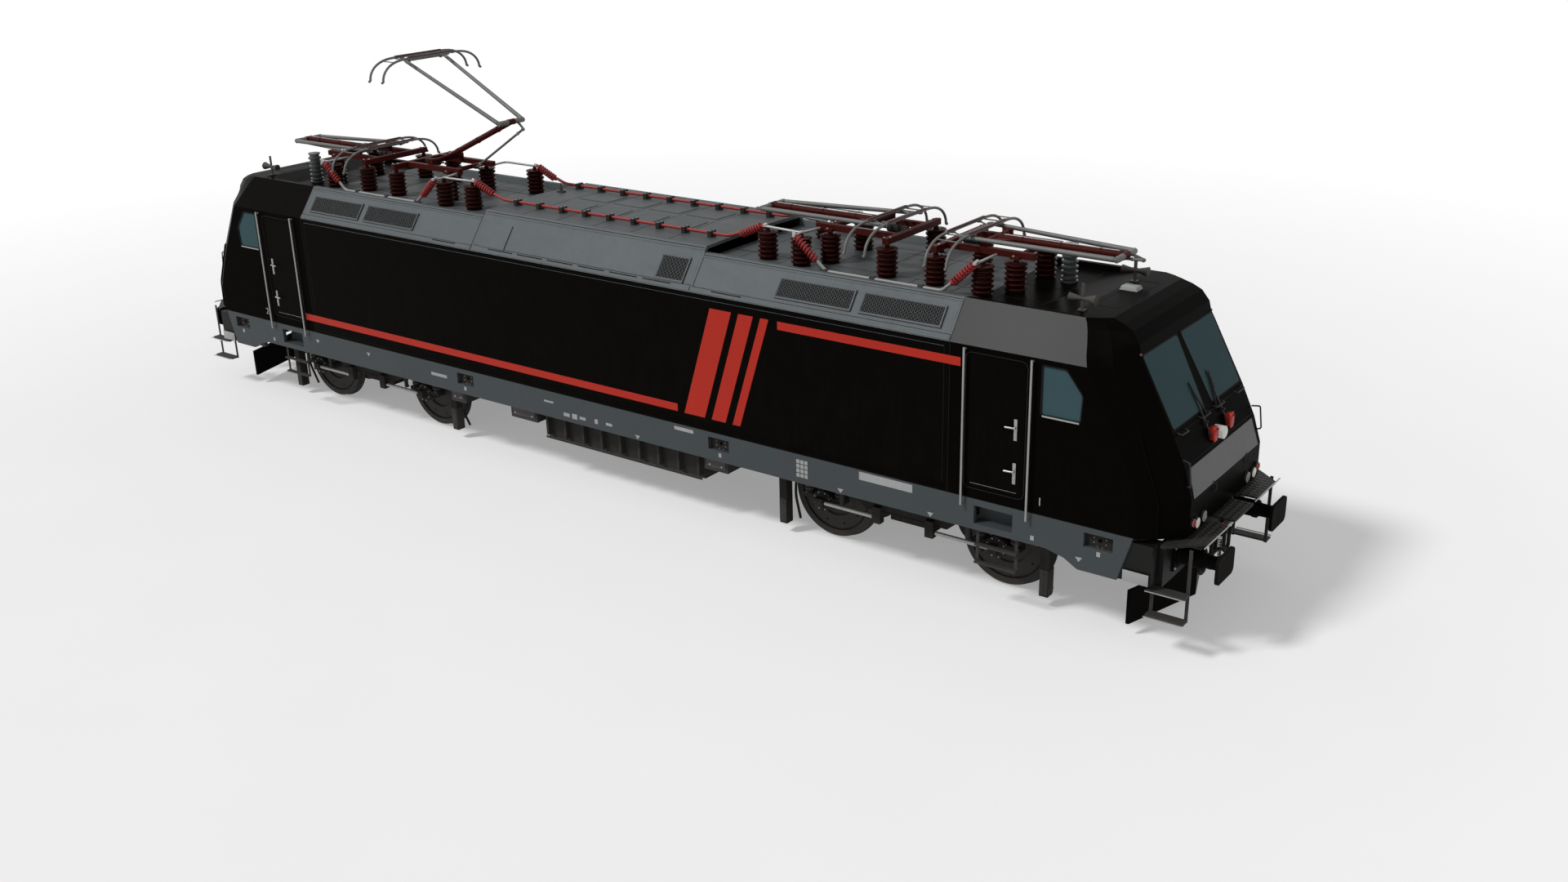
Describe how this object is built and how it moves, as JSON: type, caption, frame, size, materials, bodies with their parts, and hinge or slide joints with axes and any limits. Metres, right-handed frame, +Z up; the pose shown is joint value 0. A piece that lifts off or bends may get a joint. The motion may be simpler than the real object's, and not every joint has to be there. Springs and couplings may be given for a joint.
{
  "type": "electric locomotive",
  "caption": "Double-ended electric locomotive on bogies, black body with grey roof and frame, folding roof pantographs and hinged cab doors.",
  "frame": {"origin": "on the floor under the wheel flanges, midway between the buffers and on the centre line", "axes": "+X along the locomotive towards cab 1, +Y to the left of cab 1's driver, +Z up"},
  "size_m": [18.9, 3.108, 5.9312],
  "materials": {
    "body_black": "gloss",
    "frame_grey": "satin",
    "roof_grey": "satin",
    "grille_metal": "satin",
    "tinted_glass": "gloss",
    "interior": "matt",
    "seat_cloth": "matt",
    "insulator_brown": "gloss",
    "bus_metal": "satin",
    "cable_red": "satin",
    "clamp_black": "matt",
    "pantograph_red": "satin",
    "pantograph_grey": "satin",
    "bright_metal": "brushed",
    "running_gear": "matt, dusty",
    "wheel_steel": "worn treads",
    "box_grey": "matt",
    "buffer_grey": "greased",
    "hose_rubber": "matt",
    "lamp_glass": "gloss",
    "stripe_red": "gloss",
    "marking_white": "satin"
  },
  "bodies": {
    "body": {"brake_hoses": "hose_rubber", "buffers": "buffer_grey", "cab_1_shell": "body_black", "cab_2_shell": "body_black", "cab_glass": "tinted_glass", "cable_clamps": "clamp_black", "cable_terminations": "cable_red", "driver_desks": "interior", "driver_seats": "seat_cloth", "end_roof_hoods": "roof_grey", "footboards": "frame_grey", "handrails": "bright_metal", "high_voltage_cables": "cable_red", "ladders": "running_gear", "lamps": "lamp_glass", "lifting_sockets": "running_gear", "machine_room_walls": "body_black", "machinery_block": "interior", "middle_roof_hood": "roof_grey", "pantograph_bases": "pantograph_red", "ploughs": "running_gear", "roof_busbars": "bus_metal", "roof_grilles": "grille_metal", "roof_horns": "bright_metal", "roof_insulators": "insulator_brown", "screw_couplings": "running_gear", "transformer": "running_gear", "underfloor_boxes": "box_grey", "underframe": "frame_grey", "wipers": "clamp_black"},
    "bogie_1": {"bogie_1_frame": "running_gear", "bogie_1_axle_boxes": "running_gear", "bogie_1_motors": "running_gear"},
    "bogie_2": {"bogie_2_frame": "running_gear", "bogie_2_axle_boxes": "running_gear", "bogie_2_motors": "running_gear"},
    "wheelset_1": {"wheelset_1": "wheel_steel"},
    "wheelset_2": {"wheelset_2": "wheel_steel"},
    "wheelset_3": {"wheelset_3": "wheel_steel"},
    "wheelset_4": {"wheelset_4": "wheel_steel"},
    "cab_1_door_right": {"cab_1_door_right": "body_black"},
    "cab_1_door_left": {"cab_1_door_left": "body_black"},
    "cab_2_door_right": {"cab_2_door_right": "body_black"},
    "cab_2_door_left": {"cab_2_door_left": "body_black"},
    "pantograph_1_outer_lower_arm": {"pantograph_1_outer_lower_arm": "pantograph_red"},
    "pantograph_1_outer_upper_arm": {"pantograph_1_outer_upper_arm": "pantograph_grey"},
    "pantograph_1_outer_head": {"pantograph_1_outer_head": "pantograph_grey"},
    "pantograph_1_outer_control_rod": {"pantograph_1_outer_control_rod": "pantograph_grey"},
    "pantograph_1_inner_lower_arm": {"pantograph_1_inner_lower_arm": "pantograph_red"},
    "pantograph_1_inner_upper_arm": {"pantograph_1_inner_upper_arm": "pantograph_grey"},
    "pantograph_1_inner_head": {"pantograph_1_inner_head": "pantograph_grey"},
    "pantograph_1_inner_control_rod": {"pantograph_1_inner_control_rod": "pantograph_grey"},
    "pantograph_2_inner_lower_arm": {"pantograph_2_inner_lower_arm": "pantograph_red"},
    "pantograph_2_inner_upper_arm": {"pantograph_2_inner_upper_arm": "pantograph_grey"},
    "pantograph_2_inner_head": {"pantograph_2_inner_head": "pantograph_grey"},
    "pantograph_2_inner_control_rod": {"pantograph_2_inner_control_rod": "pantograph_grey"},
    "pantograph_2_outer_lower_arm": {"pantograph_2_outer_lower_arm": "pantograph_red"},
    "pantograph_2_outer_upper_arm": {"pantograph_2_outer_upper_arm": "pantograph_grey"},
    "pantograph_2_outer_head": {"pantograph_2_outer_head": "pantograph_grey"},
    "pantograph_2_outer_control_rod": {"pantograph_2_outer_control_rod": "pantograph_grey"}
  },
  "joints": [
    {"name": "bogie_1_yaw", "type": "hinge", "parent": "body", "child": "bogie_1", "pos_m": [5.28, 0, 0.9], "axis": [0, 0, 1], "range_deg": [-4, 4]},
    {"name": "bogie_2_yaw", "type": "hinge", "parent": "body", "child": "bogie_2", "pos_m": [-5.28, 0, 0.9], "axis": [0, 0, 1], "range_deg": [-4, 4]},
    {"name": "wheelset_1_roll", "type": "hinge", "parent": "bogie_1", "child": "wheelset_1", "pos_m": [6.6, 0, 0.653], "axis": [0, 1, 0], "continuous": true},
    {"name": "wheelset_2_roll", "type": "hinge", "parent": "bogie_1", "child": "wheelset_2", "pos_m": [3.96, 0, 0.653], "axis": [0, 1, 0], "continuous": true},
    {"name": "wheelset_3_roll", "type": "hinge", "parent": "bogie_2", "child": "wheelset_3", "pos_m": [-3.96, 0, 0.653], "axis": [0, 1, 0], "continuous": true},
    {"name": "wheelset_4_roll", "type": "hinge", "parent": "bogie_2", "child": "wheelset_4", "pos_m": [-6.6, 0, 0.653], "axis": [0, 1, 0], "continuous": true},
    {"name": "cab_1_door_right_hinge", "type": "hinge", "parent": "body", "child": "cab_1_door_right", "pos_m": [6.356, -1.413, 2.4], "axis": [0, 0, 1], "range_deg": [0, 90]},
    {"name": "cab_1_door_left_hinge", "type": "hinge", "parent": "body", "child": "cab_1_door_left", "pos_m": [6.356, 1.413, 2.4], "axis": [0, 0, -1], "range_deg": [0, 90]},
    {"name": "cab_2_door_right_hinge", "type": "hinge", "parent": "body", "child": "cab_2_door_right", "pos_m": [-6.356, -1.413, 2.4], "axis": [0, 0, -1], "range_deg": [0, 90]},
    {"name": "cab_2_door_left_hinge", "type": "hinge", "parent": "body", "child": "cab_2_door_left", "pos_m": [-6.356, 1.413, 2.4], "axis": [0, 0, 1], "range_deg": [0, 90]},
    {"name": "pantograph_1_outer_lower_arm_hinge", "type": "hinge", "parent": "body", "child": "pantograph_1_outer_lower_arm", "pos_m": [5.88, 0, 4.288], "axis": [0, -1, 0], "range_deg": [0, 40]},
    {"name": "pantograph_1_outer_upper_arm_hinge", "type": "hinge", "parent": "pantograph_1_outer_lower_arm", "child": "pantograph_1_outer_upper_arm", "pos_m": [7.6, 0, 4.288], "axis": [0, -1, 0], "range_deg": [-78.69, 0]},
    {"name": "pantograph_1_outer_head_hinge", "type": "hinge", "parent": "pantograph_1_outer_upper_arm", "child": "pantograph_1_outer_head", "pos_m": [5.59169, 0, 4.34059], "axis": [0, -1, 0], "range_deg": [0, 38.69]},
    {"name": "pantograph_1_outer_control_rod_hinge", "type": "hinge", "parent": "body", "child": "pantograph_1_outer_control_rod", "pos_m": [6.48, 0, 4.186], "axis": [0, -1, 0], "range_deg": [0, 48.61]},
    {"name": "pantograph_1_inner_lower_arm_hinge", "type": "hinge", "parent": "body", "child": "pantograph_1_inner_lower_arm", "pos_m": [4.13, 0, 4.288], "axis": [0, 1, 0], "range_deg": [0, 40]},
    {"name": "pantograph_1_inner_upper_arm_hinge", "type": "hinge", "parent": "pantograph_1_inner_lower_arm", "child": "pantograph_1_inner_upper_arm", "pos_m": [2.41, 0, 4.288], "axis": [0, 1, 0], "range_deg": [-78.69, 0]},
    {"name": "pantograph_1_inner_head_hinge", "type": "hinge", "parent": "pantograph_1_inner_upper_arm", "child": "pantograph_1_inner_head", "pos_m": [4.41831, 0, 4.34059], "axis": [0, 1, 0], "range_deg": [0, 38.69]},
    {"name": "pantograph_1_inner_control_rod_hinge", "type": "hinge", "parent": "body", "child": "pantograph_1_inner_control_rod", "pos_m": [3.53, 0, 4.186], "axis": [0, 1, 0], "range_deg": [0, 48.61]},
    {"name": "pantograph_2_inner_lower_arm_hinge", "type": "hinge", "parent": "body", "child": "pantograph_2_inner_lower_arm", "pos_m": [-4.13, 0, 4.288], "axis": [0, -1, 0], "range_deg": [-24.5, 15.5]},
    {"name": "pantograph_2_inner_upper_arm_hinge", "type": "hinge", "parent": "pantograph_2_inner_lower_arm", "child": "pantograph_2_inner_upper_arm", "pos_m": [-2.56487, 0, 5.00127], "axis": [0, -1, 0], "range_deg": [-30.5, 48.2]},
    {"name": "pantograph_2_inner_head_hinge", "type": "hinge", "parent": "pantograph_2_inner_upper_arm", "child": "pantograph_2_inner_head", "pos_m": [-4.38279, 0, 5.85639], "axis": [0, -1, 0], "range_deg": [-23.7, 15]},
    {"name": "pantograph_2_inner_control_rod_hinge", "type": "hinge", "parent": "body", "child": "pantograph_2_inner_control_rod", "pos_m": [-3.53, 0, 4.186], "axis": [0, -1, 0], "range_deg": [-29.78, 18.84]},
    {"name": "pantograph_2_outer_lower_arm_hinge", "type": "hinge", "parent": "body", "child": "pantograph_2_outer_lower_arm", "pos_m": [-5.88, 0, 4.288], "axis": [0, 1, 0], "range_deg": [0, 40]},
    {"name": "pantograph_2_outer_upper_arm_hinge", "type": "hinge", "parent": "pantograph_2_outer_lower_arm", "child": "pantograph_2_outer_upper_arm", "pos_m": [-7.6, 0, 4.288], "axis": [0, 1, 0], "range_deg": [-78.69, 0]},
    {"name": "pantograph_2_outer_head_hinge", "type": "hinge", "parent": "pantograph_2_outer_upper_arm", "child": "pantograph_2_outer_head", "pos_m": [-5.59169, 0, 4.34059], "axis": [0, 1, 0], "range_deg": [0, 38.69]},
    {"name": "pantograph_2_outer_control_rod_hinge", "type": "hinge", "parent": "body", "child": "pantograph_2_outer_control_rod", "pos_m": [-6.48, 0, 4.186], "axis": [0, 1, 0], "range_deg": [0, 48.61]}
  ],
  "couplings": [
    {"joint": "pantograph_1_outer_upper_arm_hinge", "follows": "pantograph_1_outer_lower_arm_hinge", "ratio": -1.967},
    {"joint": "pantograph_1_outer_head_hinge", "follows": "pantograph_1_outer_lower_arm_hinge", "ratio": 0.967},
    {"joint": "pantograph_1_outer_control_rod_hinge", "follows": "pantograph_1_outer_lower_arm_hinge", "ratio": 1.215},
    {"joint": "pantograph_1_inner_upper_arm_hinge", "follows": "pantograph_1_inner_lower_arm_hinge", "ratio": -1.967},
    {"joint": "pantograph_1_inner_head_hinge", "follows": "pantograph_1_inner_lower_arm_hinge", "ratio": 0.967},
    {"joint": "pantograph_1_inner_control_rod_hinge", "follows": "pantograph_1_inner_lower_arm_hinge", "ratio": 1.215},
    {"joint": "pantograph_2_inner_upper_arm_hinge", "follows": "pantograph_2_inner_lower_arm_hinge", "ratio": -1.967},
    {"joint": "pantograph_2_inner_head_hinge", "follows": "pantograph_2_inner_lower_arm_hinge", "ratio": 0.967},
    {"joint": "pantograph_2_inner_control_rod_hinge", "follows": "pantograph_2_inner_lower_arm_hinge", "ratio": 1.215},
    {"joint": "pantograph_2_outer_upper_arm_hinge", "follows": "pantograph_2_outer_lower_arm_hinge", "ratio": -1.967},
    {"joint": "pantograph_2_outer_head_hinge", "follows": "pantograph_2_outer_lower_arm_hinge", "ratio": 0.967},
    {"joint": "pantograph_2_outer_control_rod_hinge", "follows": "pantograph_2_outer_lower_arm_hinge", "ratio": 1.215}
  ]
}
